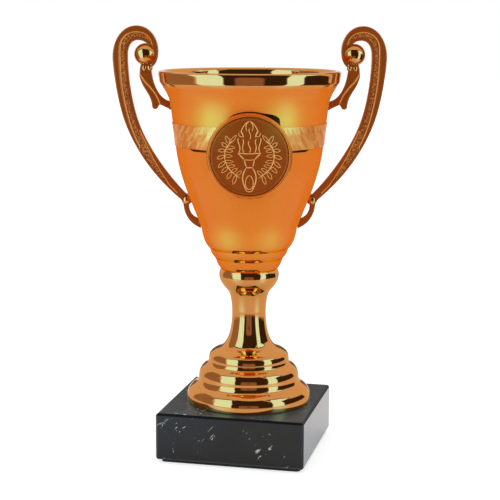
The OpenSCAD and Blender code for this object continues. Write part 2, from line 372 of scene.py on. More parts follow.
copper = metal("copper_mirror", COPPER, 0.05, 0.02)
bezel_metal = metal("bronze_holder", (0.9, 0.22, 0.022), 0.12, 0.03, grain=0.05, tint=(1.0, 0.6, 0.3), solid=0.6)
medal_metal = metal("bronze_medal", (0.46, 0.1, 0.009), 0.24, 0.03, grain=0.2, solid=0.5, ior=1.45)
relief_metal = metal("bronze_relief", (1.0, 0.5, 0.14), 0.3, 0.04, grain=0.1, solid=0.15)
handle_metal = metal("bronze_handle", (0.44, 0.094, 0.008), 0.22, 0.03, grain=0.1, solid=0.4, ior=1.45)
ridge_metal = metal("bronze_ridge", (0.92, 0.34, 0.06), 0.2, 0.04, grain=0.1, solid=0.25, ior=1.6)
dark_line = metal("dark_line", (0.12, 0.035, 0.008), 0.3, 0.05, grain=0.2, tint=(0.3, 0.12, 0.05))


def grain_material():
    """Cast grain: bright bronze specks standing out of a dark ground."""
    mat, n, shader = material("bronze_grain", Metallic=0.3, IOR=1.4, Specular_Tint=(*EDGE, 1))
    specks = n.ramp(n.noise(1500, 3, 0.75), [(0.42, 0.0), (0.6, 1.0)])
    n.feed(shader, Base_Color=n.mix(specks, (0.2, 0.043, 0.005), (0.8, 0.25, 0.04)),
           Roughness=n.math("*+", specks, -0.15, 0.45), Normal=n.bump(specks, 0.5, 0.00008))
    return mat


grain_metal = grain_material()
zinc = metal("zinc_steel", (0.62, 0.62, 0.6), 0.27, 0.06, grain=0.3, tint=(0.9, 0.9, 0.9), mottle=0.08)
spring = metal("spring_steel", (0.42, 0.42, 0.42), 0.32, 0.06, grain=0.3, tint=(0.9, 0.9, 0.9), mottle=0.08)


def bowl_material():
    """Satin lacquered plating that turns into a mirror polish in the coves, towards the lip and in the mouth."""
    mat, n, shader = material("copper_satin", IOR=1.75)
    wobble = n.math("*+", n.noise(25, 2), 0.6, -0.3)
    height = n.math("/", n.parts()[2], MM)
    lip = n.math("/", n.math("-", n.math("+", height, wobble), LIP_POLISH), 1.2, clamp=True)
    polish = lip
    for cove in COVES:
        off = n.math("ABSOLUTE", n.math("-", height, Z_BOWL + cove))
        ring = n.math("/", n.math("-", 0.8, off), 0.25, clamp=True)
        polish = n.math("max", polish, ring)
    brushed = n.noise(900, 3, 0.6, n.mapped((1, 1, 0.06)))
    dull = n.math("*+", brushed, 0.05, 0.24)
    smear = n.math("*+", n.noise(90, 4, 0.6), 0.03, 0.03)
    rough = n.new("ShaderNodeMix", {0: polish, 2: dull, 3: smear}, data_type="FLOAT")
    drift = n.noise(120, 5, 0.65)
    low = n.mix(drift, tuple(c * 0.95 for c in SATIN), tuple(min(1, c * 1.03) for c in SATIN))
    high = n.mix(lip, COVE, n.mix(drift, tuple(c * 0.96 for c in COPPER), COPPER))
    facing = n.new("ShaderNodeLayerWeight").outputs["Facing"]
    quiet = n.math("-", 0.5, n.math("*", facing, 0.9), clamp=True)
    fine = n.math("*", n.noise(5200, 3, 0.7), n.math("-", 1.0, polish))
    n.feed(shader, Metallic=polish, Roughness=rough.outputs[0], Base_Color=n.mix(polish, low, high),
           Specular_IOR_Level=n.math("max", quiet, n.math("*", polish, 0.5)),
           Specular_Tint=n.mix(polish, SHEEN, n.mix(lip, COVE, EDGE)),
           Normal=n.bump(fine, 0.12, 0.00003, n.bump(n.noise(60, 3), 0.05, 0.00025)))
    return mat


def band_material(name, dark, light):
    """Peach foil, matt, with a slight change of tone."""
    mat, n, shader = material(name, Metallic=0.4, Specular_Tint=(*EDGE, 1))
    tone = n.ramp(n.noise(700, 2, 0.5), [(0.3, 0.0), (0.7, 1.0)])
    n.feed(shader, Base_Color=n.mix(tone, dark, light), Normal=n.bump(n.noise(3800, 3, 0.7), 0.25, 0.00004),
           Roughness=n.math("*+", n.noise(1500, 3), 0.2, 0.32))
    return mat


satin = bowl_material()
peach = [band_material("peach_band_" + str(k), dark, light) for k, (dark, light) in enumerate((
    ((0.8, 0.19, 0.024), (0.9, 0.26, 0.037)), ((0.9, 0.26, 0.037), (0.97, 0.33, 0.054)),
    ((0.97, 0.35, 0.06), (1.0, 0.44, 0.095))))]


def stone_material():
    """Polished black stone: cloudy ground, fine light grains, a few pale calcite flecks; dull top and edges.
    Painted light makes the top face a lighter grey, and painted dark reflection makes the top chamfers near black.
    """
    mat, n, shader = material("black_marble", IOR=1.5)
    cloud = n.noise(55, 6, 0.62, distortion=0.8)
    ground = n.mix(n.ramp(cloud, [(0.35, 0.0), (0.75, 1.0)]), (0.003, 0.003, 0.003), (0.011, 0.0112, 0.0105))
    grains = n.ramp(n.voronoi(900), [(0.0, 1.0), (0.22, 0.0)])
    thin = n.ramp(n.noise(150, 3), [(0.52, 0.0), (0.66, 1.0)])
    ground = n.mix(n.math("*", n.math("*", grains, thin), 0.3), ground, (0.2, 0.2, 0.19))
    # short pale flecks, slanted, scattered in loose groups, most of them towards one end
    slanted = n.mapped((1.0, 1.0, 5.0), (0.0, 0.8, 0.0), "TEXTURE")
    streak = n.ramp(n.noise(760, 4, 0.65, slanted, 0.8), [(0.61, 0.0), (0.645, 1.0)])
    crowd = n.math("*+", n.parts()[0], -4.0, n.noise(95, 3, 0.5))
    vein = n.math("*", streak, n.ramp(crowd, [(0.56, 0.0), (0.6, 1.0)]))
    normal = n.parts(n.new("ShaderNodeTexCoord").outputs["Normal"])
    top = n.ramp(normal[2], [(0.9, 0.0), (0.98, 1.0)])
    edge = n.ramp(normal[2], [(0.04, 0.0), (0.1, 1.0), (0.93, 1.0), (0.98, 0.0)])
    dull = n.math("max", top, edge)
    # painted light: the top face gets a lighter grey than the sides
    ground = n.mix(top, ground, n.mix(cloud, (0.035, 0.037, 0.035), (0.075, 0.078, 0.075)))
    ground = n.mix(n.math("*", vein, 0.9), ground, (0.55, 0.55, 0.52))
    gloss = n.math("*+", n.noise(120, 4, 0.6), 0.08, 0.08)
    # painted dark reflection: the chamfers along the top edges are coloured near black
    n.feed(shader, Base_Color=n.mix(edge, ground, (0.002, 0.002, 0.002)),
           Roughness=n.math("*+", dull, 0.3, gloss),
           Specular_IOR_Level=n.math("*+", dull, -0.38, 0.5),
           Coat_Weight=n.ramp(normal[0], [(0.9, 0.0), (0.96, 1.0)]),
           Normal=n.bump(n.noise(400, 3), 0.04, 0.00005))
    return mat


def foam_material():
    mat, n, shader = material("pad_foam", Roughness=0.9)
    cells = n.voronoi(1500)
    n.feed(shader, Base_Color=n.mix(cells, (0.012, 0.012, 0.012), (0.05, 0.05, 0.048)),
           Normal=n.bump(cells, 0.6, 0.0002))
    return mat


def tape_material():
    mat, n, shader = material("adhesive_pad", Roughness=0.6)
    n.feed(shader, Base_Color=n.mix(n.noise(900, 4), (0.62, 0.6, 0.52), (0.8, 0.78, 0.7)),
           Normal=n.bump(n.noise(2500), 0.3, 0.0001))
    return mat


stone = stone_material()
foam = foam_material()
tape = tape_material()


# ---------- pieces

def finish_node(name, mat, edge=None):
    """A CAD node that stays, with its material and, if wanted, edges softened by edge millimetres."""
    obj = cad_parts[name]
    obj.data.materials.clear()
    obj.data.materials.append(mat)
    if edge:
        soft = obj.modifiers.new("edges", "BEVEL")
        soft.width = edge * MM
        soft.segments = 3
        soft.limit_method = "ANGLE"
        soft.angle_limit = math.radians(25)


finish_node("marble_base", stone, 0.11)
for node in ("base_washer", "base_nut", "bowl_washer", "bowl_nut"):
    finish_node(node, zinc)
for node in ("clip_left_upper", "clip_left_lower", "clip_right_upper", "clip_right_lower"):
    finish_node(node, spring)
finish_node("medal_pad", tape)


def make_pad():
    lo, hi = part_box("base_pad")
    turn = math.radians(BLOCK_TURN)
    centre = ((lo.x + hi.x) / 2 / MM, (lo.y + hi.y) / 2 / MM)
    corner_r, n = 1.5, 8
    outline = []
    for k, (sx, sy) in enumerate(((1, 1), (-1, 1), (-1, -1), (1, -1))):
        c = (sx * (PAD_SIDE / 2 - corner_r), sy * (PAD_SIDE / 2 - corner_r))
        outline += arc(c, corner_r, k * 90, k * 90 + 90, n)
    outline = np.asarray(outline)
    angles = np.arctan2(outline[:, 1], outline[:, 0])
    spin = np.array([[math.cos(turn), -math.sin(turn)], [math.sin(turn), math.cos(turn)]])
    hole = POCKET_R * np.stack([np.cos(angles), np.sin(angles)], 1)
    rings = []
    for scale, z in ((0.0, 0.0), (-0.12, 0.25), (0.06, 0.5), (-0.1, 0.75), (0.0, Z_PAD)):
        grown = outline * (1 + scale / (PAD_SIDE / 2))
        rings.append([(x + centre[0], y + centre[1], z) for x, y in grown @ spin.T])
    for z in (Z_PAD, 0.0):
        rings.append([(x, y, z) for x, y in hole @ spin.T])
    verts = [v for ring in rings for v in ring]
    faces = skin(len(rings), len(outline), closed=True)
    pad = build("pad_foam_sheet", verts, faces, foam, "pad_foam", "base", ("base_pad",))


make_pad()


def make_rod():
    r, pitch, around, per_pitch = 2.5, 0.8, 40, 6
    lo, hi = level("tie_rod", 0, 2), level("tie_rod", 1, 2)
    rows = int((hi - lo) / pitch * per_pitch)
    verts = [(0, 0, lo)]
    for k in range(rows + 1):
        z = lo + (hi - lo) * k / rows
        tip = min(1, 0.8 + 0.4 * min(z - lo, hi - z))
        for i in range(around):
            phase = ((z - lo) / pitch - i / around) % 1
            depth = 0.42 * abs(2 * phase - 1)
            rr = (r - depth) * tip
            a = 2 * math.pi * i / around
            verts.append((rr * math.cos(a), rr * math.sin(a), z))
    top = len(verts)
    verts.append((0, 0, hi))
    faces = skin(rows + 1, around, capped=False, first=1)
    for i in range(around):
        j = (i + 1) % around
        faces.append((0, 1 + j, 1 + i))
        faces.append((1 + rows * around + i, 1 + rows * around + j, top))
    build("rod_threaded", verts, faces, zinc, "zinc_steel", replaces=("tie_rod",), sharp=50)


make_rod()


def make_stack():
    outside = chain([21.15, 0], 16, [21.4, 0.3], [21.35, 1.2], [21.24, 2.4], [21.1, 3.9], [19.9, 5.2],
                    [18.6, 6.0], [17.75, 6.55], [17.2, 7.4], [17.2, 8.7], [17.2, 10.6], [16.3, 11.8],
                    [15.2, 12.55], [14.4, 13.05], [13.8, 13.6], [13.8, 14.6], [13.8, 16.6], [12.8, 17.5],
                    [10.8, 18.2])
    inside = [[7.4, 18.2], [7.4, 19.5], [5.8, 19.5], [5.8, 16.6], [9.8, 16.6], [11.8, 14.8], [11.8, 11.5],
              [15.3, 9.4], [15.3, 5.4], [19.1, 2.8], [19.1, 0]]
    build("foot_stepped", *turned(raised(join(outside, inside), Z_FOOT), closed=True), copper,
          "copper_mirror", replaces=("foot",), sharp=28)

    outside = chain([10.7, 0], 24, [7.2, 1.1], [5.9, 6.3], [5.8, 12.3], 16, [5.8, 16.3], [6.35, 19.15],
                    [7.3, 20.3])
    inside = [[4.6, 20.3], [4.6, 21.6], [BORE_R, 21.6], [BORE_R, 18], [3.7, 18], [3.7, 7], [7.45, 1.4], [7.45, 0]]
    build("stem_waisted", *turned(raised(join(outside, inside), Z_STEM), closed=True), copper,
          "copper_mirror", replaces=("stem",))

    outside = chain([7.3, 0], 14, [8.2, 1], [9.15, 2.1], [9.75, 3.4], 16, [10.3, 4.8], [10.35, 6.5], [9.5, 7.5])
    inside = [[7.35, 7.5], [7.35, 8.8], [5.75, 8.8], [5.75, 3], [BORE_R, 3], [BORE_R, 1.4], [4.65, 1.4], [4.65, 0]]
    build("knop_round", *turned(raised(join(outside, inside), Z_KNOP), closed=True), copper,
          "copper_mirror", replaces=("knop",))


make_stack()


WALL_LOW, WALL_HIGH = [24.65, 103.5], [26.4, 117.8]
SLOPE = (WALL_HIGH[0] - WALL_LOW[0]) / (WALL_HIGH[1] - WALL_LOW[1])

BOWL_OUTSIDE = join(
    raised(chain([9.6, 0], 16, [10.25, 0.75], [11.0, 1.9], [11.4, 3.6], [12.2, 4.55], [13.1, 5.6],
                 [13.28, 7.05]), Z_BOWL),
    chain([13.28, 70.05], 24, [14.9, 71.5], [15.7, 73.5], [16.3, 77.5], 28, [19.9, 86.5], [23.5, 94.5],
          WALL_LOW, 12, [25.2, 108.2], [25.85, 113.2], WALL_HIGH, 20, [26.8, 121.6], [28.2, 123.4],
          [29.9, 125.9], 8, [30.08, 126.15], [30.16, 126.3], [30.22, 126.7], [30.3, 127.4], [30.42, 128.2],
          [30.52, 128.9], 12, [30.6, 129.7], [30.3, 130.0], [29.5, Z_RIM]))


def outer_radius(z):
    """Radius of the bowl's outer surface at a height."""
    p = np.asarray(BOWL_OUTSIDE)
    return np.interp(z, p[:, 1], p[:, 0])


def make_bowl():
    inside = chain([29.5, Z_RIM], 8, [29.0, Z_RIM], [28.5, 129.6], [28.4, 128.9], 4, [28.4, 128.3],
                   [28.35, 127.6], [28.2, 127], 16, [26.7, 124], [25.2, 121.8], [24.8, 117.8], 8,
                   [24.25, 113.2], [23.6, 108.2], [23.05, 103.5], 20, [21.9, 94.8], [18.3, 86.5], [14.7, 77.3],
                   12, [13.7, 74.4], [13, 71.4], [10.6, Z_FLOOR])
    inside += [[BORE_R, Z_FLOOR], [BORE_R, 68.7], [7.4, 68.7], [7.4, Z_BOWL]]
    build("bowl_shell", *turned(join(BOWL_OUTSIDE, inside), closed=True), satin, "copper_satin",
          replaces=("bowl",), sharp=30)


make_bowl()


def band_point(angle, z, off):
    r = WALL_LOW[0] + (z - WALL_LOW[1]) * SLOPE + off
    return r * math.cos(angle), r * math.sin(angle), z


def make_band():
    """Foil strip pressed into slanted facets, which lean outwards from the medal on both sides."""
    rng = np.random.default_rng(7)
    glue, thick, wave = 0.03, 0.26, 0.2
    rows, cells, lean = 3, 74, 2.2
    # the strip stops where the medal holder covers it
    gap_x = math.sqrt(BEZEL_R**2 - (BAND_HI - MEDAL_Z) ** 2) - 0.4
    start = math.asin(gap_x / (outer_radius(BAND_LO) + glue)) - math.pi / 2
    span = 2 * math.pi - 2 * (start + math.pi / 2)
    verts, faces = [], []
    for k in range(rows + 1):
        z = BAND_LO + (BAND_HI - BAND_LO) * k / rows
        for i in range(cells + 1):
            t = i / cells
            fade = min(1, 12 * t, 12 * (1 - t), 12 * abs(t - 0.5))
            slide = -lean / cells * (k / rows - 0.5) * (1 if t < 0.5 else -1) * fade
            edge = k in (0, rows) or i in (0, cells)
            off = glue + thick - (0 if edge else wave * rng.random())
            verts.append(band_point(start + span * (t + slide), z, off))
    width = cells + 1
    for k in range(rows):
        for i in range(cells):
            a, b = k * width + i, k * width + i + 1
            c, d = a + width, b + width
            if i < cells / 2:
                faces += [(a, b, c), (b, d, c)]
            else:
                faces += [(a, b, d), (a, d, c)]
    front = len(verts)
    for k in (0, rows):
        z = BAND_LO + (BAND_HI - BAND_LO) * k / rows
        for i in range(cells + 1):
            verts.append(band_point(start + span * i / cells, z, glue))
    for i in range(cells):
        faces.append((i + 1, i, front + i, front + i + 1))
        faces.append((rows * width + i, rows * width + i + 1, front + width + i + 1, front + width + i))
        faces.append((front + i, front + i + 1, front + width + i + 1, front + width + i))
    left = [k * width for k in range(rows + 1)] + [front + width, front]
    right = [k * width + cells for k in range(rows + 1)] + [front + width + cells, front + cells]
    faces += [tuple(left[::-1]), tuple(right)]
    tones = rng.integers(0, len(peach), len(faces)).tolist()
    build("band_faceted", verts, faces, peach, "peach_band", replaces=("decor_band",), sharp=2, marks=tones)

    # dark line along the strip's lower edge, on either side of the medal
    tall, reach = 0.72, math.radians(28)
    for side, name in ((1, "right"), (-1, "left")):
        verts, count = [], 24
        for i in range(count + 1):
            angle = start - 0.02 + (reach + 0.02) * i / count
            z = BAND_LO - 0.02
            for dz, off in ((0, -0.1), (0, 0.1), (-tall * 0.5, 0.16), (-tall, 0.1), (-tall, -0.1)):
                x, y, h = band_point(angle, z + dz * min(1, (count - i) / 4), off)
                verts.append((x * side, y, h))
        build("band_line_" + name, verts, skin(count + 1, 5), dark_line, "peach_band")


make_band()


def on_medal(u, v, w):
    """Point of the medal's frame: u right, v up, w towards the viewer from the plate's face."""
    return u, 0.3 - DISC_Y - w, MEDAL_Z + v


def ring_piece(rings, segments=160):
    """Rings about the medal's axis, each (radius, depth) with depth a number or a function of x and z."""
    verts, rows = [], []
    for r, depth in rings:
        start = len(verts)
        for i in range(1 if r < POLE else segments):
            a = 2 * math.pi * i / segments
            x, z = r * math.cos(a), MEDAL_Z + r * math.sin(a)
            verts.append((x, -(depth(x, z) if callable(depth) else depth), z))
        rows.append(range(start, len(verts)))
    return verts, bridge(rows)


def make_bezel():
    def back(x, z):
        return math.sqrt(max(outer_radius(z) ** 2 - x * x, 0)) + 0.03

    front, r = MEDAL_Y, BEZEL_R
    rings = [(0, front - 1.5), (RECESS_R, front - 1.5), (RECESS_R, front - 0.35), (12.62, front - 0.15)]
    rings += [(12.98 + 0.36 * math.cos(a), front - 0.24 + 0.24 * math.sin(a))
              for a in np.radians(np.linspace(170, 10, 11))]
    rings += [(r - 0.12, front - 0.42), (r - 0.02, front - 0.6), (r, front - 0.85)]
    rings += [(r, back), (r * 0.75, back), (r * 0.5, back), (r * 0.25, back), (0, back)]
    build("medal_holder", *ring_piece(rings), bezel_metal, "bronze_holder", replaces=("medal_bezel",))


def make_holder_shade():
    """Painted shade: a thin dark sliver on the bowl around the upper edge of the medal holder, widest at the
    right, standing for the holder's shadow and dark reflection on the bowl.
    """
    verts, count = [], 40
    for i in range(count + 1):
        angle = math.radians(44 + 76 * i / count)
        wide = 0.35 + 1.15 * math.exp(-((math.degrees(angle) - 54) / 13) ** 2)
        wide *= min(1, i / 4 + 0.1, (count - i) / 6 + 0.1)
        for grow, off in ((-0.3, -0.1), (-0.3, 0.12), (wide, 0.1), (wide, -0.1)):
            x, z = (BEZEL_R + grow) * math.cos(angle), MEDAL_Z + (BEZEL_R + grow) * math.sin(angle)
            r = outer_radius(z) + off
            verts.append((x, -math.sqrt(r * r - x * x), z))
    build("holder_painted_shade", verts, skin(count + 1, 4), dark_line, "bronze_holder")


def make_disc():
    face, edge = DISC_Y - 0.3, 12.4
    rings = [(0, face), (11.2, face), (11.66, face), (11.72, face + 0.02)]
    rings += [(12.06 + 0.3 * math.cos(a), face + 0.3 * math.sin(a)) for a in np.radians(np.linspace(175, 5, 11))]
    rings += [(edge, face - 0.1), (edge, face - 0.8), (0, face - 0.8)]
    build("medal_plate", *ring_piece(rings), medal_metal, "bronze_medal", replaces=("medal_disc",))


def leaf(base, tip, width, n=9):
    """A pointed oval from base to tip, as a closed line."""
    b, t = np.asarray(base, float), np.asarray(tip, float)
    along = t - b
    side = np.array([-along[1], along[0]])
    side /= np.linalg.norm(side)
    up = curve([b, b + along * 0.2 + side * width * 0.72, b + along * 0.75 + side * width * 0.66, t], n)
    down = curve([t, b + along * 0.75 - side * width * 0.66, b + along * 0.2 - side * width * 0.72, b], n)
    return join(up, down)[:-1]


def make_emblem():
    """Torch in a laurel wreath, drawn in raised lines."""
    parts = Mesh()

    def line(points, width, closed=False, taper=0.15):
        count = max(10, int(len(points) * 1.5))
        p = resample(points + [points[0]] if closed else points, count)
        if closed:
            p = p[:-1]
        parts.add(*wire(p, width * 0.78, 0.22, on_medal, closed, taper, sides=8))

    # right half of the torch: flame with tongue and curl, wavy tongues, then cup, neck and grip
    half = [
        (0.4, chain([0, 11.2], 14, [0.9, 10.9], [2.2, 9.6], [2.6, 8.0], [2.7, 7.2], [1.7, 6.9], [1.9, 6.0])),
        (0.34, curve([[0.3, 10.9], [1.2, 10.4], [1.3, 9.2], [0.9, 8.0]])),
        (0.34, chain([3.4, 7.6], 14, [3.6, 6.6], [2.7, 5.9], [2.2, 6.4], [1.8, 7.0], [2.3, 8.0], [3.0, 7.9])),
        (0.42, curve([[3.5, 5.9], [4.2, 4.4], [2.3, 3.5], [3.3, 1.3]])),
        (0.42, curve([[2.2, 5.6], [1.2, 4.4], [2.9, 3.2], [1.7, 1.2]])),
        (0.5, [[3.6, 1.1], [2.9, 0.3], [2.2, -0.4], [1.7, -0.9]]),
        (0.45, [[1.65, -1.2], [1.4, -1.9], [1.25, -2.6], [1.15, -3.2]]),
        (0.5, chain([1.0, -3.7], 14, [1.9, -4.9], [2.3, -6.3], [2.1, -7.6], [1.9, -9.0], [1.2, -10.2],
                    [0.8, -11.1])),
    ]
    for s in (-1, 1):
        for width, points in half:
            line([[s * u, v] for u, v in points], width)
    for width, points in (
            (0.36, [[0.1, 8.9], [-0.9, 8.0], [1.1, 6.9], [0.1, 5.4]]),
            (0.42, [[0.0, 4.9], [-1.2, 3.8], [1.2, 2.6], [0.0, 1.3]]),
            (0.42, [[-3.6, 1.15], [-1.2, 0.75], [1.2, 0.75], [3.6, 1.15]]),
            (0.36, [[-1.7, -1.0], [-0.6, -1.2], [0.6, -1.2], [1.7, -1.0]]),
            (0.5, [[-1.1, -3.45], [-0.4, -3.6], [0.4, -3.6], [1.1, -3.45]])):
        line(curve(points), width)
    line(curve([[-0.8, -11.1], [-0.3, -11.3], [0.3, -11.3], [0.8, -11.1]]), 0.4, taper=0)
    line([[1.25 * math.cos(a) * (1 - 0.12 * math.sin(a)), -8.3 + 2.2 * math.sin(a)]
          for a in np.linspace(0, 2 * math.pi, 28)[:-1]], 0.34, closed=True)
    # laurel branches
    stem = [[2.9, -6.9], [4.2, -6.0], [5.7, -4.9], [6.9, -3.4], [7.7, -1.6], [7.9, 0.2], [7.7, 1.9], [7.1, 3.1],
            [6.3, 4.1], [5.3, 5.1]]
    outer = [[5.2, -8.9], [7.1, -7.2], [8.8, -5.2], [9.9, -3.5], [10.3, -0.7], [9.8, 1.9], [8.8, 4.3], [7.5, 6.5]]
    inner = [[2.5, -4.6], [3.8, -3.8], [4.6, -2.8], [5.1, -1.7], [5.4, 0.1], [5.2, 1.6], [4.6, 2.7], [4.1, 6.8]]
    for s in (-1, 1):
        line([[s * x, v] for x, v in stem], 0.4)
        for tips, wide, thick in ((outer, 1.0, 0.3), (inner, 0.85, 0.28)):
            for (x, v), (root_x, root_v) in zip(tips, stem[1:]):
                line(leaf([s * root_x, root_v], [s * x, v], wide), thick, closed=True)
    build("medal_emblem", parts.verts, parts.faces, relief_metal, "bronze_medal", sharp=60)


make_bezel()
make_holder_shade()
make_disc()
make_emblem()


# ---------- handles

STRAP_HALF, ARM_THICK, LOOP_THICK = 1.7, 2.8, 2.6
STRAP_OUTSIDE = chain([22.9, 86.5], 190, [31.5, 93.8], [37.5, 101.8], [41.3, 111.5], 130, [43.6, 117.3],
                      [45.1, 126], [45.6, 133.5], 100, [45.9, 139.9], [42.4, 144.75], [37.6, 144.75], 70,
                      [33.5, 144.75], [30.45, 140.9], [30.45, 136.4], 30, [30.45, 134.2], [31, 132.6],
                      [32.2, 131.3])
STRAP_INSIDE = chain([21.2, 88.4], 190, [28.9, 96.4], [34.7, 105.6], [37.2, 112.8], 130, [39.6, 119.6],
                     [40.75, 129.5], [40.6, 135.5], 100, [40.5, 138.2], [39.2, 139.95], [37.1, 139.95], 70,
                     [34.9, 139.95], [33.1, 138.4], [33.0, 136.3], 30, [32.9, 135.0], [33.0, 133.6],
                     [33.3, 132.6])
RIDGE_ONE = chain([32.5, 138.4], 60, [32.6, 141.0], [34.9, 142.7], [37.7, 142.7], [40.6, 142.7], [43.0, 140.4],
                  [43.0, 137.0], [43.2, 129.0], [42.4, 121.4], [39.9, 112.6], [39.2, 109.9], [38.0, 107.0],
                  [36.4, 104.2])
RIDGE_TWO = chain([36.3, 110.2], 60, [34.9, 105.0], [31.0, 97.3], [24.6, 88.4])
ARM = [
    [[36.1, 132.8], [36.6, 130.6], [36.75, 127.9]],
    curve([[36.75, 127.9], [35.85, 123.6], [32.95, 122.5], [32.6, 117.9]]),
    arc([31.62, 118.1], 1, 345, 195, 10),
    [[30.1, 118.7], [26.2, 116.9], [26.2, 119.4]],
    curve([[27, 119.85], [29.8, 120.6], [32.3, 124.2], [32.85, 130.6]]),
    [[33.1, 132.8]],
]
LOOP = [
    curve([[22.4, 85.9], [22.2, 80.6], [19.3, 78], [16.4, 76.9]]),
    curve([[16.6, 79.9], [18.9, 80.6], [21, 82.2], [20.3, 86]]),
]


def crossing(outer, inner, ridge):
    """Distance from each outer point at which the line to its inner point meets the ridge, or nan."""
    result = np.full(len(outer), np.nan)
    r = resample(ridge, 160)
    a, b = r[:-1], r[1:]
    for i, (o, n) in enumerate(zip(outer, inner)):
        d, e = n - o, b - a
        det = d[0] * e[:, 1] - d[1] * e[:, 0]
        det[np.abs(det) < 1e-9] = 1e-9
        f = a - o
        t = (f[:, 0] * e[:, 1] - f[:, 1] * e[:, 0]) / det
        s = (f[:, 0] * d[1] - f[:, 1] * d[0]) / det
        hit = t[(t > -0.05) & (t < 1.05) & (s >= -0.01) & (s <= 1.01)]
        if len(hit):
            result[i] = hit[0] * np.linalg.norm(d)
    return result


def smooth(values, reach):
    kernel = np.ones(2 * reach + 1) / (2 * reach + 1)
    return np.convolve(np.pad(values, reach, mode="edge"), kernel, mode="valid")


def strap():
    """The strap as a grid of cross-sections: plain edge, ridge, sunken grained zone, ridge, plain edge."""
    rng = np.random.default_rng(11)
    outer, inner = np.asarray(STRAP_OUTSIDE), np.asarray(STRAP_INSIDE)
    count = len(outer)
    width = np.linalg.norm(inner - outer, axis=1)
    one, two = crossing(outer, inner, RIDGE_ONE), crossing(outer, inner, RIDGE_TWO)
    index = np.arange(count)
    has_one, has_two = ~np.isnan(one), ~np.isnan(two)
    d1 = np.interp(index, index[has_one], one[has_one])
    d1[index < index[has_one][0]] = 0.6
    k1 = smooth(has_one.astype(float), 8)
    d2 = np.where(has_two, np.nan_to_num(two), width - 0.9)
    d2[index < index[has_two][0]] = 0.7
    k2 = smooth(has_two.astype(float), 6)
    d2 = smooth(d2, 5)
    d1 = smooth(d1, 5)
    least = np.minimum(0.62, width * 0.16)
    d2 = np.clip(d2, least * 2.2, width - 0.55)
    d1 = np.clip(d1, least, d2 - 0.5)
    plain, zone_c, sunk = 0.14, 0.2, 0.3
    sunk_now = np.where(d2 - d1 > 0.75, sunk, plain + (sunk - plain) * np.clip((d2 - d1 - 0.5) / 0.25, 0, 1))
    # columns of points across the strap: distance from the outer edge, depth below the ridges
    columns = [(0, 0.62), (0.05, 0.36), (0.16, 0.2), (0.34, 0.13)]
    columns += [(0.34 + (d1 - 0.62) * f, plain + 0.04 * math.sin(math.pi * f)) for f in (0.2, 0.45, 0.7)]
    columns += [(d1 + off, plain - up * k1)
                for off, up in ((-0.28, 0), (-0.16, 0.08), (-0.05, 0.14), (0.05, 0.14), (0.15, 0.08))]
    columns += [(d1 + 0.24, sunk_now)]
    grain_start = len(columns)
    columns += [(d1 + 0.24 + (d2 - d1 - 0.48) * f, sunk_now) for f in np.linspace(0.1, 0.9, 9)]
    grain_stop = len(columns)
    columns += [(d2 - 0.24, sunk_now)]
    columns += [(d2 + off, zone_c - up * k2)
                for off, up in ((-0.15, 0.1), (-0.05, 0.18), (0.05, 0.18), (0.15, 0.1), (0.26, 0))]
    columns += [(d2 + 0.26 + (width - d2 - 0.56) * f, zone_c) for f in (0.3, 0.6, 0.85)]
    columns += [(width - off, zone_c + down) for off, down in ((0.28, 0.02), (0.14, 0.08), (0.05, 0.2))]
    columns += [(width, 0.62)]
    distance, depth = (np.stack([np.broadcast_to(c[k], count) for c in columns], 1).astype(float) for k in (0, 1))
    distance = np.clip(np.maximum.accumulate(distance, axis=1), 0, width[:, None])
    room = np.clip((d2 - d1 - 0.55) / 0.5, 0, 1)[:, None]
    n_grain = grain_stop - grain_start
    coarse = rng.random((count // 2 + 2, n_grain))[index // 2]
    fine = rng.random((count, n_grain))
    depth[:, grain_start:grain_stop] += (coarse * 0.12 + fine * 0.08 - 0.1) * room
    cols = distance.shape[1]
    along = (inner - outer) / width[:, None]
    verts, marks = [], []
    for i in range(count):
        x = outer[i, 0] + along[i, 0] * distance[i]
        z = outer[i, 1] + along[i, 1] * distance[i]
        for j in range(cols):
            verts.append((x[j], -STRAP_HALF + depth[i, j], z[j]))
        for j in range(cols - 1, -1, -1):
            verts.append((x[j], STRAP_HALF - depth[i, j], z[j]))
    ring = cols * 2
    for i in range(count - 1):
        for j in range(ring):
            m = (j + 1) % ring
            at = min(j, m) if m != 0 else 0
            at = at if at < cols else ring - 2 - at
            on_ridge = (8 <= at <= 10 and k1[i] > 0.5) or (23 <= at <= 25 and k2[i] > 0.5)
            marks.append(2 if on_ridge else int(grain_start - 1 <= at < grain_stop))
    return verts, skin(count, ring), marks + [0, 0]


def ball(c, r, stretch=1.0, n=20, segments=40):
    """A turned ball about an upright axis."""
    profile = [[r * math.sin(a), r * stretch * -math.cos(a)] for a in np.linspace(0, math.pi, n + 1)]
    verts, faces = turned(profile, segments)
    return [(x + c[0], y + c[1], z + c[2]) for x, y, z in verts], faces


def big_ball():
    """The ball in the scroll, with its short neck."""
    r, cx, cz = 3.65, 34.86, 135.3
    low = math.radians(25)
    profile = [[0, 130.9], [1.0, 130.9], [1.15, 131.5], [1.35, 131.9]]
    profile += [[r * math.sin(a), cz - r * math.cos(a)] for a in np.linspace(low, math.pi, 26)]
    verts, faces = turned(profile, 64)
    return [(x + cx, y, z) for x, y, z in verts], faces


def in_front(face, half):
    """Plane of a handle's front (-1) or back (+1), half a thickness from the middle."""
    return lambda u, v, w: (u, face * (half + w), v)


def flange(x, z, tilt, across, tall, thick=0.45):
    """Thin rounded foot of an arm where it meets the bowl; tilt is the wall's angle from upright."""
    verts, n = [], 28
    for grow, out in ((1, -0.5), (1, thick * 0.6), (0.9, thick), (0.0, thick)):
        for i in range(n):
            a = 2 * math.pi * i / n
            u, v = across / 2 * math.cos(a) * grow, tall / 2 * math.sin(a) * grow
            lift = out - u * u / (2 * x)
            c, s = math.cos(tilt), math.sin(tilt)
            verts.append((x + lift * c + v * s, u, z - lift * s + v * c))
    return verts, skin(4, n, capped=False) + [tuple(range(n - 1, -1, -1))]


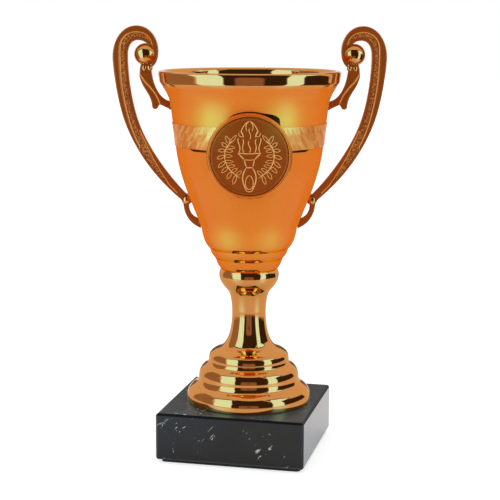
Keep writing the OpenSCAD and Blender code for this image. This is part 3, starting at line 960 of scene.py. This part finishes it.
def make_handle(side):
    def piece(name, mesh, mat, **more):
        build(name + side, mesh.verts, mesh.faces, mat, "bronze_handle", mirror=side == "left", **more)

    verts, faces, marks = strap()
    piece("strap_", Mesh().add(verts, faces), [handle_metal, grain_metal, ridge_metal],
          replaces=(side + "_handle",), sharp=42, marks=marks)
    arm = Mesh().add(*plate(join(*ARM), ARM_THICK, 0.42)).add(*plate(join(*LOOP), LOOP_THICK, 0.4))
    piece("arm_", arm, handle_metal, sharp=40)
    fold = curve([[36.3, 128.6], [35.1, 125.2], [31.2, 124.0], [29.9, 118.6]], 40)
    trim = Mesh()
    for face in (-1, 1):
        trim.add(*wire(fold, 0.6, 0.3, in_front(face, ARM_THICK / 2), taper=0.12))
    piece("trim_", trim, ridge_metal)
    balls = Mesh().add(*big_ball()).add(*ball((21.2, 0, 86.5), 1.8)).add(*ball((20.5, 0, 88.2), 0.78, 1.0, 12, 24))
    for face in (-1, 1):
        for x, z in ((35.16, 130.7), (33.3, 130.8)):
            balls.add(*ball((x, face * 0.95, z), 0.93, 1.1, 12, 28))
    piece("balls_", balls, copper)
    feet = Mesh().add(*flange(26.45, 118.4, math.radians(-8), 2.9, 3.0))
    piece("feet_", feet.add(*flange(16.9, 78.9, math.radians(-21), 2.7, 3.0)), handle_metal)


for side in ("left", "right"):
    make_handle(side)


# ---------- studio

TENT = 0.82                  # brightness of the tent's white wall
TENT_R, TENT_TOP = 190, 450  # radius and height of the tent
BOX = (0.97, 2.25, 3.9)      # softboxes, then the same after a second and a third bounce
BOX_TWICE = (1.65, 5.2, 9.5)
BOX_THRICE = (2.2, 17.0, 60.0)
GLOW_COLOUR = (0.0, 0.46, 1.0)
GLOW_AWAY = 250              # distance of the small lamps from the bowl
# small lamps: azimuth, height, radius of the bowl there, spread, power
GLOWS = [(-28, 114.2, 26, 7.6, 8), (24, 114.2, 26, 7.6, 8), (-34, 115, 26, 15, 1.0), (30, 115, 26, 15, 1.0),
         (-28, 74.3, 16, 6, 5.5), (26, 74.3, 16, 5.5, 4.6)]
BLACK = (0.045, 0.035, 0.03)
CARD = (0.33, 0.24, 0.23)
GREY = (0.36, 0.3, 0.27)
PAPER = (0.62, 0.62, 0.62)
FLOOR_GLOW = (0.2, 0.2, 0.2)
SENSOR, LENS = 36, 99.55
PITCH, ROLL = 0.16674, 0.00338          # camera's tilt down and lean, in radians
CAMERA_AT = (0.28858, -465.0, 147.52)


def direction(n):
    """Azimuth of the object position in degrees from the front, to the right positive, and its coordinates."""
    x, y, z = n.parts()
    turn = n.math("ARCTAN2", x, n.math("*", y, -1.0))
    return n.math("*", turn, 180 / math.pi), x, y, z


def stage_piece(name, verts, faces):
    """A piece of the studio, with an empty material that no light sampling looks for."""
    mesh = bpy.data.meshes.new(name)
    mesh.from_pydata((np.asarray(verts) * MM).tolist(), [], faces)
    obj = bpy.data.objects.new(name, mesh)
    bpy.context.scene.collection.objects.link(obj)
    mat = bpy.data.materials.new(name + "_surface")
    mat.use_nodes = True
    mat.cycles.emission_sampling = "NONE"
    mesh.materials.append(mat)
    n = Nodes(mat.node_tree)
    n.tree.nodes.clear()
    return obj, n


def make_floor():
    """Pale paper that glows a little, more in the two patches that the foot mirrors."""
    reach = 3000
    verts = [(-reach, -reach, 0), (reach, -reach, 0), (reach, reach, 0), (-reach, reach, 0)]
    obj, n = stage_piece("floor", verts, [(0, 1, 2, 3)])
    obj.location.z = -0.00005
    azimuth, x, y, z = direction(n)
    square = n.math("+", n.math("*", x, x), n.math("*", y, y))
    away = n.math("/", n.math("SQRT", square), MM)
    near = n.math("/", n.math("-", away, 40.0), 130.0, clamp=True)
    lit = 0.0
    for centre, half in ((-50, 30), (55, 24)):
        off = n.math("ABSOLUTE", n.math("-", azimuth, centre))
        lit = n.math("max", lit, n.math("-", 1.0, n.math("/", off, half), clamp=True))
    lit = n.math("*", n.math("*", lit, near), 0.9)
    path = n.new("ShaderNodeLightPath")
    colour = n.mix(path.outputs["Is Glossy Ray"], FLOOR_GLOW, n.mix(lit, FLOOR_GLOW, (0.35, 1.1, 2.0)))
    colour = n.mix(path.outputs["Is Camera Ray"], colour, PAPER)
    diffuse = n.new("ShaderNodeBsdfDiffuse", {0: (*PAPER, 1)}).outputs[0]
    glow = n.new("ShaderNodeEmission", {0: colour}).outputs[0]
    n.new("ShaderNodeOutputMaterial", {0: n.new("ShaderNodeAddShader", {0: diffuse, 1: glow}).outputs[0]})


def make_tent():
    """A round white light tent, seen only in reflections: softboxes, black flags and the dark front opening
    are painted on its wall by azimuth in degrees and height in millimetres."""
    obj, n = stage_piece("tent", *turned([[TENT_R, 0], [TENT_R, TENT_TOP]], 180))
    for ray in ("camera", "diffuse", "transmission", "shadow", "volume_scatter"):
        setattr(obj, "visible_" + ray, False)
    azimuth, x, y, z = direction(n)
    per_degree = TENT_R * math.pi / 180

    def spot(turn):
        inputs = {0: n.math("*", turn, per_degree), 1: n.math("/", z, MM), 2: 1.0}
        return n.new("ShaderNodeCombineXYZ", inputs).outputs[0]

    here, either_side = spot(azimuth), spot(n.math("ABSOLUTE", azimuth))

    def panel(corners, soft=7.0, bottom=None, source=here):
        """Mask of a convex panel whose corners run anticlockwise with azimuth to the right."""
        corners = [(a * per_degree, h) for a, h in corners]
        mask = None
        for (ax, ay), (bx, by) in zip(corners, corners[1:] + corners[:1]):
            nx, ny = -(by - ay), bx - ax
            length = math.hypot(nx, ny)
            nx, ny = nx / length, ny / length
            blur = bottom if bottom and ny > 0.95 else soft
            edge = (nx / blur, ny / blur, -(nx * ax + ny * ay) / blur + 0.5)
            dot = n.new("ShaderNodeVectorMath", {0: source, 1: edge}, operation="DOT_PRODUCT")
            mask = dot.outputs["Value"] if mask is None else n.math("MINIMUM", mask, dot.outputs["Value"])
        return n.math("+", mask, 0.0, clamp=True)

    backdrop = panel([(150, 15), (181, 15), (181, 95), (158, 80)], 14, source=either_side)
    centre = panel([(-30, 7), (41, 7), (46, 109), (48, 168), (40, 397), (-38, 430), (-46, 266), (-39.2, 141)],
                   6, 14)
    card = panel([(-17, 8), (17, 8), (17, 76), (11, 92), (-11, 92), (-17, 76)], 9, 12)
    lens = n.math("max", panel([(-2.5, 44), (2.5, 44), (2.5, 62), (-2.5, 62)], 6),
                  panel([(-3, 124), (3, 124), (3, 132), (-3, 132)], 5))
    left_box = n.math("MAXIMUM",
                      panel([(-62, 13), (-30, 13), (-32, 141), (-48, 344), (-67, 258), (-65, 57)], 6, 18),
                      panel([(-63, 95), (-60, 300), (-82, 205)], 6))
    right_box = n.math("MAXIMUM",
                       panel([(41, 13), (68, 13), (68, 109), (72, 240), (60, 311), (48, 168), (46, 109)], 6, 18),
                       panel([(66, 150), (92, 160), (80, 232), (66, 270)], 6))
    left_flag = panel([(-119, 16), (-62, 16), (-66, 67), (-84, 205), (-100, 225), (-119, 180)], 9, 8)
    right_flag = panel([(66, 16), (122, 16), (120, 80), (84, 150), (66, 150)], 7, 8)
    left_rim = panel([(-66, 120), (-45, 30), (-36, 300), (-46, 385), (-58, 370), (-88, 225)], 9)
    right_rim = panel([(70, 120), (95, 155), (84, 250), (62, 345), (46, 350), (60, 150)], 9)

    colour = n.mix(backdrop, (TENT, TENT, TENT), (0.18, 0.18, 0.18))
    depth = n.new("ShaderNodeLightPath").outputs["Glossy Depth"]
    twice = n.math("GREATER_THAN", depth, 1.5)
    thrice = n.math("GREATER_THAN", depth, 2.5)
    colour = n.mix(thrice, n.mix(twice, colour, (1.1, 1.9, 2.8)), (0.8, 3.8, 13.0))
    colour = n.mix(n.math("GREATER_THAN", depth, 3.5), colour, (0.6, 5.0, 50.0))
    box = n.mix(thrice, n.mix(twice, BOX, BOX_TWICE), BOX_THRICE)
    for mask, tone in ((left_flag, GREY), (right_flag, BLACK), (left_rim, BLACK), (right_rim, BLACK),
                       (centre, BLACK), (card, CARD), (lens, BLACK), (left_box, box), (right_box, box)):
        colour = n.mix(mask, colour, tone)
    n.new("ShaderNodeOutputMaterial", {0: n.new("ShaderNodeEmission", {0: colour}).outputs[0]})


def make_world():
    """Even soft light from all round, a little more from above, and a white background."""
    world = bpy.data.worlds.new("studio")
    bpy.context.scene.world = world
    world.use_nodes = True
    n = Nodes(world.node_tree)
    n.tree.nodes.clear()
    up = n.parts(n.new("ShaderNodeTexCoord").outputs["Generated"])[2]
    upper = n.math("*+", up, 0.5, 0.5, clamp=True)
    path = n.new("ShaderNodeLightPath")
    colour = n.mix(upper, (0.7, 0.7, 0.7), (1.05, 1.05, 1.05))
    colour = n.mix(path.outputs["Is Glossy Ray"], colour, (TENT, TENT, TENT))
    colour = n.mix(path.outputs["Is Camera Ray"], colour, (1.0, 1.0, 1.0))
    n.new("ShaderNodeOutputWorld", {0: n.new("ShaderNodeBackground", {0: colour}).outputs[0]})


def make_glow(azimuth, height, r, spread, power):
    """Small soft lamp that brightens one patch of the satin, spread millimetres wide."""
    data = bpy.data.lights.new("glow", "SPOT")
    data.energy = power
    data.color = GLOW_COLOUR
    data.spot_size = 2 * math.atan(spread / GLOW_AWAY)
    data.spot_blend = 1.0
    data.shadow_soft_size = 0.004
    lamp = bpy.data.objects.new("glow", data)
    bpy.context.scene.collection.objects.link(lamp)
    lamp.visible_glossy = False
    a = math.radians(azimuth)
    out = Vector((math.sin(a), -math.cos(a), 0))
    lamp.location = (out * (r + GLOW_AWAY) + Vector((0, 0, height))) * MM
    lamp.rotation_euler = (math.pi / 2, 0, a)


def make_camera():
    data = bpy.data.cameras.new("camera")
    camera = bpy.data.objects.new("camera", data)
    bpy.context.scene.collection.objects.link(camera)
    bpy.context.scene.camera = camera
    data.sensor_width, data.lens = SENSOR, LENS
    data.clip_start = 0.01
    camera.matrix_world = (Matrix.Translation(Vector(CAMERA_AT) * MM)
                           @ Matrix.Rotation(math.pi / 2 - PITCH, 4, "X") @ Matrix.Rotation(ROLL, 4, "Z"))


make_floor()
make_tent()
make_world()
for azimuth, height, r, spread, power in GLOWS:
    make_glow(azimuth, height, r, spread, power)
make_camera()
bpy.context.scene.view_settings.view_transform = "Standard"
